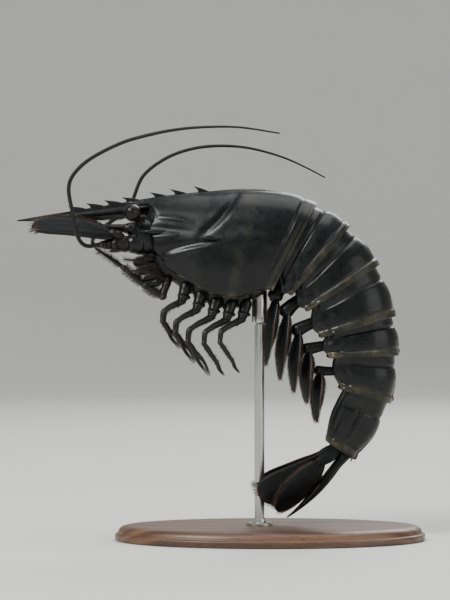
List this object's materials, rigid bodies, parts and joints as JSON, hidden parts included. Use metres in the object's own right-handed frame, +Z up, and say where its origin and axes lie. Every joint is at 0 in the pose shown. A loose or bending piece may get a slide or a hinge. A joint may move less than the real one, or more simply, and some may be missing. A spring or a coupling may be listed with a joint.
{
  "type": "black tiger prawn model on a display stand",
  "caption": "Life-size black tiger prawn in a curled swimming pose, with jointed shell plates, legs, tail fan and swept-back feelers, held up by a rod on an oval base.",
  "frame": {"origin": "centre of the flat underside of the stand's base", "axes": "+Z up out of the base, the prawn's head towards -X, its left side towards -Y"},
  "size_m": [0.1632, 0.076, 0.1639],
  "materials": {
    "shell": "semi-gloss, near-black olive with faint pale bands",
    "limb": "satin, dark brown-black",
    "fan": "semi-gloss, blue-black",
    "eye": "high gloss black",
    "stand_wood": "satin varnish",
    "stand_metal": "brushed"
  },
  "bodies": {
    "root": {"antenna_base_left": "limb", "antenna_base_right": "limb", "antenna_left_1": "limb", "antenna_left_2": "limb", "antenna_left_3": "limb", "antenna_right_1": "limb", "antenna_right_2": "limb", "antenna_right_3": "limb", "antennal_scale_left": "fan", "antennal_scale_right": "fan", "antennule_left": "limb", "antennule_right": "limb", "carapace": "shell", "eye_left": "eye", "eye_right": "eye", "eyestalk_left": "limb", "eyestalk_right": "limb", "head": "shell", "leg_1_left": "limb", "leg_1_right": "limb", "leg_2_left": "limb", "leg_2_right": "limb", "leg_3_left": "limb", "leg_3_right": "limb", "leg_4_left": "limb", "leg_4_right": "limb", "leg_5_left": "limb", "leg_5_right": "limb", "maxilliped_left": "limb", "maxilliped_right": "limb", "mouthparts": "limb", "pleopod_1_left": "limb", "pleopod_1_right": "limb", "pleopod_2_left": "limb", "pleopod_2_right": "limb", "pleopod_3_left": "limb", "pleopod_3_right": "limb", "pleopod_4_left": "limb", "pleopod_4_right": "limb", "pleopod_5_left": "limb", "pleopod_5_right": "limb", "rostrum": "shell", "somite_1": "shell", "somite_2": "shell", "somite_3": "shell", "somite_4": "shell", "somite_5": "shell", "somite_6": "shell", "stand_base": "stand_wood", "stand_rod": "stand_metal", "telson": "fan", "thorax": "shell", "uropod_left": "fan", "uropod_right": "fan"}
  },
  "joints": []
}
